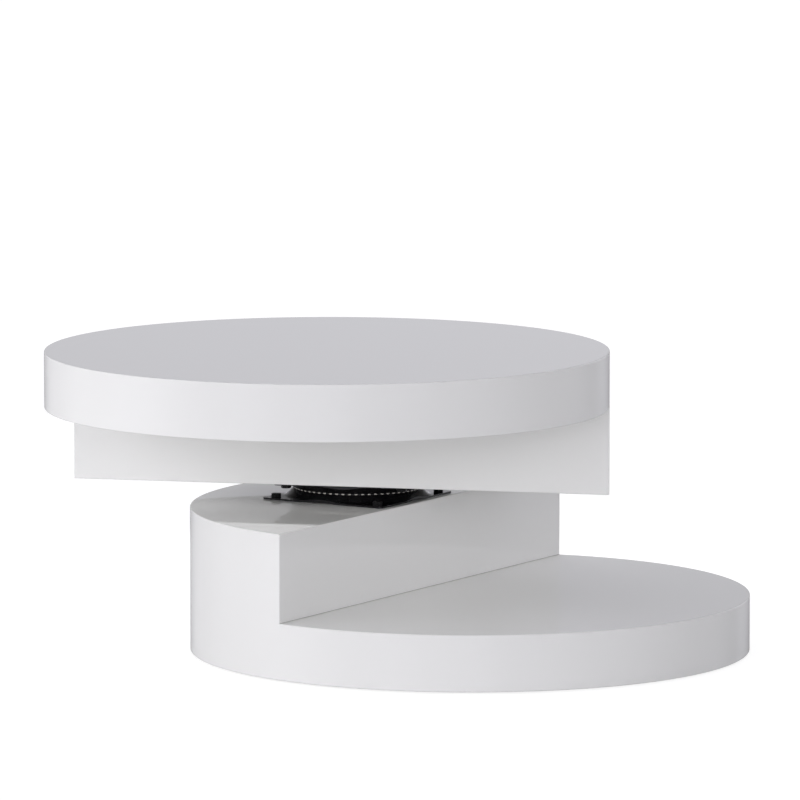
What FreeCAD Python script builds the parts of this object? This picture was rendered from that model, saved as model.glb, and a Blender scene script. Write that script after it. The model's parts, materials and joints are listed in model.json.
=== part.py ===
import FreeCAD, Part
import math
import os

# A round two-tier coffee table whose upper tier swivels on a ball bearing.
# Both tiers are the same hollow board construction: a round slab with a raised block on one side,
# cut off by a flat face. The upper tier is the lower one turned upside down, so its block hangs
# over the lower block and the bearing sits between the two.
#
# Frame, in millimetres: the origin is on the floor under the centre of the lower tier, +Z is up,
# and +X points from the lower block across the open shelf. The pivot is at (-pivot_offset, 0).

Vector = FreeCAD.Vector
UP = Vector(0, 0, 1)

# Form of a tier
table_radius = 400.0
slab_height = 80.0
block_height = 126.0
chord_offset = 77.0            # centre of the tier to the flat face of its block
edge_round = 1.5               # eased outer edges under the lacquer
display_turn = -72.0           # how far the upper tier stands turned from closed, in degrees

# Board stock
panel_thickness = 18.0
rim_thickness = 9.0
face_thickness = 18.0
rib_thickness = 18.0
block_panel_thickness = 25.0
board_thickness = 18.0         # doubler behind the panel that carries the bearing
board_margin = 25.0            # doubler beyond the bearing plate
slab_rib_offset = 130.0
outer_rib_offset = 270.0

# Floor pads
pad_diameter = 30.0
pad_thickness = 3.0
pad_circle_radius = 360.0
pad_count = 8

# Swivel bearing
plate_side = 200.0
plate_thickness = 2.5
plate_corner_radius = 6.0
plate_setback = 11.0           # edge of the plate behind the flat face of the block
bolt_spacing = 170.0
bearing_height = 28.0
lip_gap = 3.2                  # slot between the lips of the two plates
dish_crest_radius = 93.4       # outer edge of the dish's lip
dish_angle = 45.0              # slope of the dish's flank
dish_blend_radius = 9.0        # where the flank runs out into the flat corners
ball_diameter = 8.0
ball_circle_radius = 88.0
ball_spacing = 9.2             # least distance from ball to ball along the circle
cage_inner_margin = 8.0        # ball circle to the cage's inner edge
cage_outer_margin = 3.4        # ball circle to the cage's rim
cage_thickness = 1.8
kingpin_diameter = 12.0
kingpin_head_diameter = 28.0
kingpin_head_height = 4.0
thrust_washer_diameter = 60.0
retaining_washer_diameter = 34.0
retaining_washer_thickness = 1.5

# Fasteners
bolt_diameter = 8.0
bolt_head_flats = 13.0
bolt_head_height = 5.3
bolt_length = 30.0
bolt_hole_diameter = 9.0
insert_diameter = 12.0
insert_length = 25.0
screw_diameter = 4.0
screw_head_diameter = 8.0
screw_head_height = 2.6
bottom_screw_length = 35.0
face_screw_length = 50.0
face_screw_count = 6
face_screw_margin = 50.0       # first screw from the end of the face

# Clearances
board_gap = 0.3                # rib ends to the bent boards
lap_clearance = 0.2            # each side of a half-lap
thread_clearance = 0.1         # round a screw, bolt or insert in its hole
running_clearance = 0.1        # kingpin in the turning plate, and the washers' end play
ball_clearance = 0.3           # ball to race
pocket_clearance = 0.2         # ball to cage
head_sink_depth = 0.4          # countersunk heads below the board's face

# Levels and places that follow
pivot_offset = chord_offset + plate_setback + plate_side / 2
face_back_offset = chord_offset + face_thickness
slab_low = pad_thickness
slab_high = slab_low + slab_height
block_high = slab_high + block_height
rib_low = slab_low + panel_thickness
rib_high = slab_high - panel_thickness
block_panel_low = block_high - block_panel_thickness
middle_height = block_high + bearing_height / 2
ball_count = math.floor(2 * math.pi * ball_circle_radius / ball_spacing)
cage_inner_radius = ball_circle_radius - cage_inner_margin
cage_outer_radius = ball_circle_radius + cage_outer_margin
inner_radius = table_radius - rim_thickness
rib_radius = inner_radius - board_gap
board_half_width = plate_side / 2 + board_margin
half_face_width = math.sqrt(table_radius ** 2 - chord_offset ** 2)
crest_height = (bearing_height - lip_gap) / 2
reach = 2 * table_radius       # longer than any piece
pivot = Vector(-pivot_offset, 0, 0)


def disc(radius, low, high, centre=(0, 0)):
    """An upright cylinder between two levels."""
    return Part.makeCylinder(radius, high - low, Vector(centre[0], centre[1], low))


def box(x_range, y_range, z_range):
    """A box between its lowest and highest coordinates."""
    low = Vector(x_range[0], y_range[0], z_range[0])
    return Part.makeBox(x_range[1] - x_range[0], y_range[1] - y_range[0], z_range[1] - z_range[0], low)


def behind_face(offset, low, high):
    """Everything on the block's side of a plane across the tier, between two levels."""
    return box((-reach, -offset), (-reach, reach), (low, high))


def is_upright(edge):
    """True for an edge that runs straight up."""
    box_of_edge = edge.BoundBox
    return box_of_edge.XLength < 0.01 and box_of_edge.YLength < 0.01


def lies_at_level(edge, level):
    """True for an edge that lies in one horizontal plane."""
    return abs(edge.BoundBox.ZMin - level) < 0.01 and abs(edge.BoundBox.ZMax - level) < 0.01


def lies_on_face(edge):
    """True for an edge in the plane of the block's flat face."""
    return abs(edge.BoundBox.XMin + chord_offset) < 0.01 and abs(edge.BoundBox.XMax + chord_offset) < 0.01


def eased(shape, wanted):
    """Round the chosen edges of a lacquered board."""
    return shape.makeFillet(edge_round, [edge for edge in shape.Edges if wanted(edge)])


def shelf_edge_cutter(level):
    """What easing takes off the upper edge of a round board, along the open half only."""
    start = table_radius - edge_round
    middle = start + edge_round * math.sqrt(0.5)
    arc = Part.Arc(Vector(start, 0, level),
                   Vector(middle, 0, level - edge_round + (middle - start)),
                   Vector(table_radius, 0, level - edge_round)).toShape()
    corners = [Vector(table_radius, 0, level - edge_round),
               Vector(table_radius + edge_round, 0, level - edge_round),
               Vector(table_radius + edge_round, 0, level + edge_round),
               Vector(start, 0, level + edge_round),
               Vector(start, 0, level)]
    lines = [Part.makeLine(a, b) for a, b in zip(corners, corners[1:])]
    ring = Part.Face(Part.Wire([arc] + lines)).revolve(Vector(0, 0, 0), UP, 360)
    return ring.cut(behind_face(chord_offset, level - slab_height, level + slab_height))


def countersunk_screw(x, y, face, length, clearance=0.0):
    """A screw driven upwards into a face, or with a clearance the hole for it."""
    head_low = face + head_sink_depth
    radius = screw_diameter / 2 + clearance
    head_radius = screw_head_diameter / 2 + clearance
    head_high = head_low + screw_head_height
    head = Part.makeCone(head_radius, radius, screw_head_height, Vector(x, y, head_low))
    shank = disc(radius, head_high, head_low + length + clearance, (x, y))
    if clearance:
        mouth = disc(head_radius, face - head_sink_depth, head_low, (x, y))
        return head.fuse(shank).fuse(mouth)
    return head.fuse(shank).removeSplitter()


def bottom_screw_places():
    """Along each slab rib, either side of the half-laps and between them."""
    near, far = slab_rib_offset, 2 * slab_rib_offset
    along = [(x, side * near) for side in (-1, 1) for x in (-far, 0, far)]
    return along + [(y, x) for x, y in along]


def face_screw_places():
    """In a row along the middle of the face panel's foot."""
    first = half_face_width - face_screw_margin
    step = 2 * first / (face_screw_count - 1)
    x = -chord_offset - face_thickness / 2
    return [(x, -first + step * place) for place in range(face_screw_count)]


def bolt_places():
    """The four corners of the bearing plate's bolt square."""
    half = bolt_spacing / 2
    return [(x - pivot_offset, y) for x in (-half, half) for y in (-half, half)]


def rim():
    """Bent band between the slab's two panels."""
    return disc(table_radius, rib_low, rib_high).cut(disc(inner_radius, rib_low, rib_high))


def slab_rib(offset):
    """One rib that runs across the slab in X at a Y offset, before its notches."""
    half = rib_thickness / 2
    plank = box((-reach, reach), (offset - half, offset + half), (rib_low, rib_high))
    return plank.common(disc(rib_radius, rib_low, rib_high))


def slab_ribs():
    """Two long ribs and two cross ribs, halved into each other."""
    half = rib_thickness / 2 + lap_clearance
    lap_level = (rib_low + rib_high) / 2
    offsets = (-slab_rib_offset, slab_rib_offset)
    long_ribs = [slab_rib(offset) for offset in offsets]
    cross_ribs = [slab_rib(offset) for offset in offsets]
    for rib in cross_ribs:
        rib.rotate(Vector(0, 0, 0), UP, 90)
    for x in offsets:
        upper_notch = box((x - half, x + half), (-reach, reach), (lap_level, rib_high))
        lower_notch = box((-reach, reach), (x - half, x + half), (rib_low, lap_level))
        long_ribs = [rib.cut(upper_notch) for rib in long_ribs]
        cross_ribs = [rib.cut(lower_notch) for rib in cross_ribs]
    return Part.makeCompound(long_ribs), Part.makeCompound(cross_ribs)


def inner_panel():
    """Round board on the rib side of the block: its open half is the shelf."""
    return disc(table_radius, rib_high, slab_high).cut(shelf_edge_cutter(slab_high))


def face_panel():
    """The flat face of the block, eased at its two ends and along its foot."""
    strip = box((-face_back_offset, -chord_offset), (-reach, reach), (slab_high, block_panel_low))
    panel = strip.common(disc(table_radius, slab_high, block_panel_low))
    return eased(panel, lambda edge: lies_on_face(edge)
                 and (is_upright(edge) or lies_at_level(edge, slab_high)))


def block_wall():
    """Bent wall of the block, flush with the rim and butted against the face panel."""
    ring = disc(table_radius, slab_high, block_panel_low).cut(disc(inner_radius, slab_high, block_panel_low))
    return ring.common(behind_face(face_back_offset, slab_high, block_panel_low))


def block_ribs():
    """Uprights in the block: one each side of the doubler and one further out."""
    half = rib_thickness / 2
    inner_offset = board_half_width + half
    ribs = []
    for offset in (-outer_rib_offset, -inner_offset, inner_offset, outer_rib_offset):
        plank = box((-reach, -face_back_offset), (offset - half, offset + half), (slab_high, block_panel_low))
        ribs.append(plank.common(disc(rib_radius, slab_high, block_panel_low)))
    return Part.makeCompound(ribs)


def block_panel():
    """Thick board that closes the block and carries the bearing plate."""
    panel = disc(table_radius, block_panel_low, block_high)
    panel = panel.common(behind_face(chord_offset, block_panel_low, block_high))
    return eased(panel, lambda edge: is_upright(edge) and lies_on_face(edge) or lies_at_level(edge, block_high))


def bearing_board():
    """Doubler that takes the load of the bearing bolts."""
    back = pivot_offset + board_half_width
    return box((-back, -face_back_offset), (-board_half_width, board_half_width),
               (block_panel_low - board_thickness, block_panel_low))


def insert_bores():
    """Holes for the threaded inserts, through the block panel and its doubler."""
    radius = insert_diameter / 2 + thread_clearance
    return Part.makeCompound([disc(radius, block_panel_low - board_thickness, block_high, place)
                              for place in bolt_places()])


def inserts():
    """Threaded inserts, their bores plain."""
    low = block_high - insert_length
    bore = bolt_diameter / 2 + thread_clearance
    return Part.makeCompound([disc(insert_diameter / 2, low, block_high, place).cut(disc(bore, low, block_high, place))
                              for place in bolt_places()])


def face_screws(clearance=0.0):
    """Screws through the inner panel into the foot of the face panel."""
    return Part.makeCompound([countersunk_screw(x, y, rib_high, face_screw_length, clearance)
                              for x, y in face_screw_places()])


def bottom_screws(clearance=0.0):
    """Screws through the bottom panel into the slab ribs."""
    return Part.makeCompound([countersunk_screw(x, y, slab_low, bottom_screw_length, clearance)
                              for x, y in bottom_screw_places()])


def floor_pads():
    """A ring of pads under the slab and one at its centre."""
    places = [(0.0, 0.0)]
    for place in range(pad_count):
        angle = 2 * math.pi * (place + 0.5) / pad_count
        places.append((pad_circle_radius * math.cos(angle), pad_circle_radius * math.sin(angle)))
    return Part.makeCompound([disc(pad_diameter / 2, 0, pad_thickness, place) for place in places])


def outer_panel():
    """Plain round board on the far side of the slab: bottom of one tier, tabletop of the other."""
    return eased(disc(table_radius, slab_low, rib_low), lambda edge: lies_at_level(edge, slab_low))


def dish_foot_radius():
    """Where the flank's blend meets the flat corners."""
    angle = math.radians(dish_angle)
    flank_foot_level = plate_thickness + dish_blend_radius * (1 - math.cos(angle))
    flank_foot = dish_crest_radius + (crest_height - flank_foot_level) / math.tan(angle)
    return flank_foot + dish_blend_radius * math.sin(angle)


def under_dish(low, edge_level, blend_radius, roof, rim_radius):
    """The round solid under a dish's surface: flat edge, blend, sloping flank and level roof."""
    angle = math.radians(dish_angle)
    foot = dish_foot_radius()

    def on_blend(turn):
        return Vector(foot - blend_radius * math.sin(turn), 0, edge_level + blend_radius * (1 - math.cos(turn)))

    flank_foot = on_blend(angle)
    flank_top = Vector(flank_foot.x - (roof - flank_foot.z) / math.tan(angle), 0, roof)
    blend = Part.Arc(on_blend(0), on_blend(angle / 2), flank_foot).toShape()
    corners = [flank_foot, flank_top, Vector(0, 0, roof), Vector(0, 0, low), Vector(rim_radius, 0, low)]
    if rim_radius > foot:
        corners.append(Vector(rim_radius, 0, edge_level))
    corners.append(on_blend(0))
    lines = [Part.makeLine(start, end) for start, end in zip(corners, corners[1:])]
    return Part.Face(Part.Wire([blend] + lines)).revolve(Vector(0, 0, 0), UP, 360)


def bearing_plate():
    """Square plate pressed up into a dish with a ball race round its lip, on the pivot axis.

    The dish is wider than the plate, so the middle of each side stands clear of the board."""
    half = plate_side / 2
    outline = box((-half, half), (-half, half), (0, bearing_height))
    outline = outline.makeFillet(plate_corner_radius, [edge for edge in outline.Edges if is_upright(edge)])
    dish = under_dish(0, plate_thickness, dish_blend_radius, crest_height, plate_side)
    hollow = under_dish(-plate_thickness, 0, dish_blend_radius + plate_thickness,
                        crest_height - plate_thickness, dish_foot_radius())
    groove_radius = ball_diameter / 2 + ball_clearance
    ball_level = Vector(0, 0, bearing_height / 2)
    race_wall = Part.makeTorus(ball_circle_radius, groove_radius + plate_thickness, ball_level).common(dish)
    plate = dish.cut(hollow).fuse(race_wall).common(outline)
    plate = plate.cut(Part.makeTorus(ball_circle_radius, groove_radius, ball_level))
    plate = plate.cut(disc(kingpin_diameter / 2 + running_clearance, 0, bearing_height))
    for x, y in bolt_places():
        plate = plate.cut(disc(bolt_hole_diameter / 2, 0, plate_thickness, (x + pivot_offset, y)))
    plate = plate.removeSplitter()
    plate.translate(pivot + UP * block_high)
    return plate


def hexagon(flats, low, high, centre):
    """A hexagonal head between two levels, its top corners turned off."""
    radius = flats / math.sqrt(3)
    corners = [Vector(centre[0] + radius * math.cos(math.radians(60 * turn)),
                      centre[1] + radius * math.sin(math.radians(60 * turn)), low) for turn in range(7)]
    head = Part.Face(Part.makePolygon(corners)).extrude(UP * (high - low))
    chamfer = radius - flats / 2
    crown = Part.makeCone(radius + (high - low), radius - chamfer, high - low + chamfer,
                          Vector(centre[0], centre[1], low))
    return head.common(crown)


def plate_bolts():
    """Hexagon bolts through the bearing plate into the inserts."""
    seat = block_high + plate_thickness
    bolts = []
    for place in bolt_places():
        head = hexagon(bolt_head_flats, seat, seat + bolt_head_height, place)
        shank = disc(bolt_diameter / 2, seat - bolt_length, seat, place)
        bolts.append(head.fuse(shank).removeSplitter())
    return Part.makeCompound(bolts)


def on_pivot(radius, low, high):
    """A disc on the pivot axis, its levels counted from the top of the lower block."""
    return disc(radius, block_high + low, block_high + high, (pivot.x, pivot.y))


def kingpin():
    """Headed pin through both dishes, riveted over the retaining washer."""
    lower_head_high = crest_height - plate_thickness
    upper_seat = bearing_height - lower_head_high + running_clearance + retaining_washer_thickness
    shank = on_pivot(kingpin_diameter / 2, lower_head_high - kingpin_head_height, upper_seat + kingpin_head_height)
    lower_head = on_pivot(kingpin_head_diameter / 2, lower_head_high - kingpin_head_height, lower_head_high)
    upper_head = on_pivot(kingpin_head_diameter / 2, upper_seat, upper_seat + kingpin_head_height)
    pin = shank.fuse(lower_head).fuse(upper_head).removeSplitter()
    head_rims = [edge for edge in pin.Edges if edge.Closed and edge.Length > math.pi * kingpin_diameter * 1.1]
    outer_levels = (pin.BoundBox.ZMin, pin.BoundBox.ZMax)
    rims = [edge for edge in head_rims if min(abs(edge.BoundBox.ZMin - level) for level in outer_levels) < 0.01]
    return pin.makeFillet(kingpin_head_height / 2, rims)


def thrust_washer():
    """Flat washer between the two dishes."""
    low = crest_height
    washer = on_pivot(thrust_washer_diameter / 2, low, low + lip_gap - running_clearance)
    return washer.cut(on_pivot(kingpin_diameter / 2 + running_clearance, low, low + lip_gap))


def retaining_washer():
    """Washer under the riveted head, just clear of the turning plate."""
    low = bearing_height - crest_height + plate_thickness + running_clearance
    washer = on_pivot(retaining_washer_diameter / 2, low, low + retaining_washer_thickness)
    return washer.cut(on_pivot(kingpin_diameter / 2 + running_clearance, low, low + retaining_washer_thickness))


def ball_places():
    """Centres of the balls, evenly round the pivot."""
    places = []
    for place in range(ball_count):
        angle = 2 * math.pi * place / ball_count
        places.append((pivot.x + ball_circle_radius * math.cos(angle), ball_circle_radius * math.sin(angle)))
    return places


def bearing_balls():
    """The row of balls."""
    return Part.makeCompound([Part.makeSphere(ball_diameter / 2, Vector(x, y, middle_height))
                              for x, y in ball_places()])


def ball_cage():
    """Flat ring with a pocket for each ball, the pockets open at the rim."""
    low = (bearing_height - cage_thickness) / 2
    high = low + cage_thickness
    ring = on_pivot(cage_outer_radius, low, high).cut(on_pivot(cage_inner_radius, low, high))
    pocket_radius = ball_diameter / 2 + pocket_clearance
    pockets = Part.makeCompound([disc(pocket_radius, block_high + low, block_high + high, place)
                                 for place in ball_places()])
    return ring.cut(pockets)


def turned_over(shape):
    """The same piece in the upper tier: upside down about mid-height, then swivelled."""
    piece = shape.copy()
    piece.rotate(Vector(0, 0, middle_height), Vector(1, 0, 0), 180)
    piece.rotate(pivot, UP, display_turn)
    return piece


long_ribs, cross_ribs = slab_ribs()
face_bores = face_screws(thread_clearance)
bottom_bores = bottom_screws(thread_clearance)
rib_sets = [ribs.cut(face_bores) for ribs in (long_ribs, cross_ribs)]
shelf = inner_panel().cut(face_bores)
face = face_panel().cut(face_bores)
carrier = block_panel().cut(insert_bores())
doubler = bearing_board().cut(insert_bores())

nodes = {
    "base_bottom_panel": outer_panel().cut(bottom_bores),
    "base_rim": rim(),
    "base_long_ribs": rib_sets[0].cut(bottom_bores),
    "base_cross_ribs": rib_sets[1].cut(bottom_bores),
    "shelf_panel": shelf,
    "riser_panel": face,
    "lower_block_wall": block_wall(),
    "lower_block_ribs": block_ribs(),
    "lower_block_top": carrier,
    "lower_bearing_board": doubler,
    "lower_inserts": inserts(),
    "riser_screws": face_screws(),
    "bottom_screws": bottom_screws(),
    "floor_pads": floor_pads(),
    "lower_bearing_plate": bearing_plate(),
    "lower_plate_bolts": plate_bolts(),
    "kingpin": kingpin(),
    "thrust_washer": thrust_washer(),
    "retaining_washer": retaining_washer(),
    "ball_cage": ball_cage(),
    "bearing_balls": bearing_balls(),
    "upper_bearing_plate": turned_over(bearing_plate()),
    "upper_plate_bolts": turned_over(plate_bolts()),
    "upper_inserts": turned_over(inserts()),
    "upper_bearing_board": turned_over(doubler),
    "upper_block_floor": turned_over(carrier),
    "upper_block_ribs": turned_over(block_ribs()),
    "upper_block_wall": turned_over(block_wall()),
    "hanging_block_face": turned_over(face),
    "face_screws": turned_over(face_screws()),
    "underside_panel": turned_over(shelf),
    "top_long_ribs": turned_over(rib_sets[0]),
    "top_cross_ribs": turned_over(rib_sets[1]),
    "top_rim": turned_over(rim()),
    "tabletop_panel": turned_over(outer_panel()),
}

os.makedirs("parts", exist_ok=True)
for name, shape in nodes.items():
    shape.exportStep(f"parts/{name}.step")
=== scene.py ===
import json
import math

import bpy
import numpy as np
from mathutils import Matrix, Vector
from mathutils.geometry import tessellate_polygon


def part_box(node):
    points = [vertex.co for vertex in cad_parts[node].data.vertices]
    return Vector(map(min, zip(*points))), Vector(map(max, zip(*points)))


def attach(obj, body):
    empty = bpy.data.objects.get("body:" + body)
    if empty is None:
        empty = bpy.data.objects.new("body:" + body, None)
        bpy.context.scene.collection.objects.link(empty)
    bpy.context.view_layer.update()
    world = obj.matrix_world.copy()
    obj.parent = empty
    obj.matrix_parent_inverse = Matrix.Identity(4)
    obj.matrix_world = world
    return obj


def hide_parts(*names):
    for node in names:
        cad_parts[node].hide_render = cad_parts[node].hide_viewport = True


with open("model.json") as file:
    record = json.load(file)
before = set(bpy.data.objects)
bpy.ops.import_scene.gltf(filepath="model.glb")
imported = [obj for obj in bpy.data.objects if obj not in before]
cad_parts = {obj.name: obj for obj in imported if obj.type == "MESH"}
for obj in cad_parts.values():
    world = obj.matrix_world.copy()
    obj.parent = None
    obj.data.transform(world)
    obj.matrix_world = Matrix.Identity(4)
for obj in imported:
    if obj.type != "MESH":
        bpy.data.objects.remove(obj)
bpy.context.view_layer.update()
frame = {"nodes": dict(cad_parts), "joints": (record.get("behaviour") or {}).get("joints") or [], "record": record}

# Sizes are in metres. The camera's and the studio's angles are in degrees, all others in radians.

# Camera
CAMERA_PLACE = (5.9388, -10.0995, 1.8483)
CAMERA_AZIMUTH = 30.946
CAMERA_PITCH_DOWN = 7.239
CAMERA_LENS = 372.74
CAMERA_REACH = 100.0
SENSOR_WIDTH = 36.0

# The two tiers, read from the frame
rim_low, rim_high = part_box("base_rim")
TABLE_RADIUS = rim_high.x
RIM_THICKNESS = 0.009
RIM_INNER_RADIUS = TABLE_RADIUS - RIM_THICKNESS
BOTTOM_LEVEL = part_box("base_bottom_panel")[0].z
RIB_LOW = rim_low.z
RIB_HIGH = rim_high.z
SHELF_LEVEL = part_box("shelf_panel")[1].z
BLOCK_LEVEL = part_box("lower_block_top")[1].z
BLOCK_PANEL_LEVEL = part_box("lower_block_top")[0].z
FACE_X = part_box("riser_panel")[1].x
FACE_BACK_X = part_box("riser_panel")[0].x
EDGE_ROUND = 0.0015

# Fasteners: the bolts of the swivel plates, the inserts they go into and the countersunk screws
BOLT_HALF_SPACING = 0.085
BOLT_CORNERS = [(x, y) for x in (-BOLT_HALF_SPACING, BOLT_HALF_SPACING)
                for y in (-BOLT_HALF_SPACING, BOLT_HALF_SPACING)]
BOLT_FLATS = 0.013
BOLT_HEAD = 0.0053
BOLT_LENGTH = 0.030
BOLT_PLAIN = 0.005
BOLT_RADIUS = 0.00395
BOLT_THREAD = 0.0004
BOLT_PITCH = 0.00125
BOLT_THREAD_START = 0.006
BOLT_THREAD_LENGTH = 0.023
INSERT_BORE = 0.0061
INSERT_LENGTH = 0.025
SCREW_RADIUS = 0.0019
SCREW_HEAD_RADIUS = 0.004
SCREW_HEAD_PLAY = 0.0001
SCREW_PLAY = 0.0002
SCREW_CREST_RADIUS = 0.00195
SCREW_THREAD = 0.00035
SCREW_PITCH = 0.0016
COUNTERSINK_DEPTH = 0.003
HEAD_SINK = 0.0004
FACE_SCREW_COUNT = 6
FACE_SCREW_MARGIN = 0.050
RIB_OFFSET = 0.130
PAD_RADIUS = 0.015
PAD_CIRCLE = 0.360
PAD_EASING = 0.0008
PADS_ROUND = 8

# Wood screws: how long they are, how deep their thread begins and how long it is
WOOD_SCREWS = {"short_screw": (0.035, 0.010, 0.020), "long_screw": (0.050, 0.014, 0.030)}

# The swivel, from its joint
SWIVEL = next(joint for joint in frame["joints"] if joint["name"] == "top_swivel")
PIVOT = Vector(SWIVEL["pos_m"])
top_low, top_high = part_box("top_rim")
TOP_CENTRE = (top_low + top_high) / 2
DISPLAY_TURN = math.atan2(TOP_CENTRE.y - PIVOT.y, TOP_CENTRE.x - PIVOT.x)

# Smoothness of the lacquered boards
STEPS_PER_TURN = 720
ROUND_STEPS = 6
FILLET_STEP = math.radians(8)
CREASE = math.radians(35)
SAME_PLACE = 1e-7
NO_AREA = 1e-12


# ---------------------------------------------------------------------------------------------
# Outlines and boards
# ---------------------------------------------------------------------------------------------

def arc(centre, radius, start, end, steps=None):
    """Points and outward normals along an arc, angles in radians."""
    if steps is None:
        steps = max(2, round(abs(end - start) / math.tau * STEPS_PER_TURN))
    corners = []
    for turn in np.linspace(start, end, steps + 1):
        normal = (math.cos(turn), math.sin(turn))
        corners.append(((centre[0] + radius * normal[0], centre[1] + radius * normal[1]), normal))
    return corners


def circle(radius, centre=(0.0, 0.0), steps=STEPS_PER_TURN):
    """A closed outline round a centre, its first point not repeated."""
    return arc(centre, radius, 0.0, math.tau, steps)[:-1]


class Mesh:
    """Collects faces with a normal for every corner, and joins what meets."""

    def __init__(self):
        self.places = []
        self.index = {}
        self.faces = []
        self.normals = []

    def vertex(self, place):
        """The number of the vertex at a place, new or met before."""
        key = tuple(round(value, 7) for value in place)
        if key not in self.index:
            self.index[key] = len(self.places)
            self.places.append(tuple(place))
        return self.index[key]

    def face(self, corners):
        """corners is a list of (place, normal), anticlockwise from outside."""
        loop, normals = [], []
        for place, normal in corners:
            vertex = self.vertex(place)
            if vertex not in loop:
                loop.append(vertex)
                normals.append(normal)
        if len(loop) > 2:
            self.faces.append(loop)
            self.normals.extend(normals)

    def strip(self, first, second):
        """Faces between two columns of (place, normal) of the same length."""
        for low, high in zip(range(len(first) - 1), range(1, len(first))):
            self.face([first[low], second[low], second[high], first[high]])

    def build(self, name):
        """The object; without normals of its own it is creased where it bends sharply."""
        data = bpy.data.meshes.new(name)
        data.from_pydata(self.places, [], self.faces)
        data.polygons.foreach_set("use_smooth", [True] * len(data.polygons))
        if all(self.normals):
            data.normals_split_custom_set(self.normals)
        else:
            data.set_sharp_from_angle(angle=CREASE)
        piece = bpy.data.objects.new(name, data)
        bpy.context.scene.collection.objects.link(piece)
        return piece


def column(point, normal, low, high, low_round, high_round):
    """One upright line of a board's edge, with its easing at the bottom and the top."""
    places = []
    for step in range(ROUND_STEPS + 1):
        turn = math.pi / 2 * step / ROUND_STEPS
        inset = low_round * (1 - math.sin(turn))
        rise = low_round * (1 - math.cos(turn))
        places.append((inset, low + rise, math.sin(turn), -math.cos(turn)))
    for step in range(ROUND_STEPS + 1):
        turn = math.pi / 2 * step / ROUND_STEPS
        inset = high_round * (1 - math.cos(turn))
        drop = high_round * (1 - math.sin(turn))
        places.append((inset, high - drop, math.cos(turn), math.sin(turn)))
    return [((point[0] - normal[0] * inset, point[1] - normal[1] * inset, level),
             (normal[0] * out, normal[1] * out, up)) for inset, level, out, up in places]


def board(name, outline, low, high, low_round=0.0, high_round=0.0, holes=()):
    """A board with an upright edge round its outline.

    low_round and high_round are one size or one for each outline point. A hole is a list of
    (outline, level) from the bottom face to the top one, all with as many points."""
    mesh = Mesh()
    count = len(outline)
    low_rounds = [low_round] * count if np.isscalar(low_round) else low_round
    high_rounds = [high_round] * count if np.isscalar(high_round) else high_round
    columns = [column(point, normal, low, high, low_rounds[i], high_rounds[i])
               for i, (point, normal) in enumerate(outline)]
    for i, first in enumerate(columns):
        j = (i + 1) % count
        second = columns[j]
        if math.dist(outline[i][0], outline[j][0]) < SAME_PLACE:
            easing, next_easing = low_rounds[i] + high_rounds[i], low_rounds[j] + high_rounds[j]
            if easing == next_easing:
                continue
            way = 1 if easing < next_easing else -1
            along = (-outline[i][1][1] * way, outline[i][1][0] * way, 0.0)
            first = [(place, along) for place, _ in first]
            second = [(place, along) for place, _ in second]
        mesh.strip(first, second)
    for is_top, end in ((False, 0), (True, -1)):
        edge = [line[end][0] for line in columns]
        loops = [edge] + [[(point[0], point[1], rings[end][1]) for point, _ in reversed(rings[end][0])]
                          for rings in holes]
        flat = (0.0, 0.0, 1.0 if is_top else -1.0)
        close_flat(mesh, loops, flat)
    for rings in holes:
        for (lower, lower_level), (upper, upper_level) in zip(rings, rings[1:]):
            for i in range(len(lower)):
                j = (i + 1) % len(lower)
                corners = [(lower[j], lower_level), (lower[i], lower_level),
                           (upper[i], upper_level), (upper[j], upper_level)]
                mesh.face([((*point, level), hole_normal(normal, lower, upper, lower_level, upper_level))
                           for (point, normal), level in corners])
    return mesh.build(name)


def hole_normal(normal, lower, upper, lower_level, upper_level):
    """The wall of a hole faces its axis, and a countersink also faces its mouth."""
    opposite = len(lower) // 2
    widening = math.dist(lower[0][0], lower[opposite][0]) - math.dist(upper[0][0], upper[opposite][0])
    height = upper_level - lower_level
    return tuple(Vector((-normal[0] * height, -normal[1] * height, -widening / 2)).normalized())


def close_flat(mesh, loops, normal):
    """A flat face inside the first loop and outside the others."""
    loops = [[place for i, place in enumerate(loop) if math.dist(place, loop[i - 1]) > SAME_PLACE]
             for loop in loops]
    if len(loops) == 1:
        corners = loops[0] if normal[2] > 0 else loops[0][::-1]
        mesh.face([(place, normal) for place in corners])
        return
    places = [place for loop in loops for place in loop]
    for a, b, c in tessellate_polygon([[Vector(place) for place in loop] for loop in loops]):
        first, second, third = Vector(places[a]), Vector(places[b]), Vector(places[c])
        turning = (second - first).cross(third - first).z
        if abs(turning) < NO_AREA:
            continue
        order = (a, b, c) if turning * normal[2] > 0 else (a, c, b)
        mesh.face([(places[i], normal) for i in order])


def bore(centre, radii_and_levels, steps=48):
    """A round hole given as (radius, level) from the bottom face to the top one."""
    return [(circle(radius, centre, steps), level) for radius, level in radii_and_levels]


# ---------------------------------------------------------------------------------------------
# The boards of a tier, in the lower tier's place
# ---------------------------------------------------------------------------------------------

def face_half_width(x):
    """Half the width of the tier across a plane at x."""
    return math.sqrt(TABLE_RADIUS ** 2 - x ** 2)


def corner_turn(x, radius=TABLE_RADIUS):
    """The angle from +X at which the tier's edge crosses a plane at x."""
    return math.acos(x / radius)


def front_with_round_corners():
    """The block's flat face and its two eased upright corners, from -Y to +Y."""
    reach = math.sqrt((TABLE_RADIUS - EDGE_ROUND) ** 2 - (FACE_X - EDGE_ROUND) ** 2)
    centre_turn = math.atan2(reach, FACE_X - EDGE_ROUND)
    lower = arc((FACE_X - EDGE_ROUND, -reach), EDGE_ROUND, -centre_turn, 0.0, ROUND_STEPS)
    upper = arc((FACE_X - EDGE_ROUND, reach), EDGE_ROUND, 0.0, centre_turn, ROUND_STEPS)
    return lower + upper, centre_turn


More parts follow.
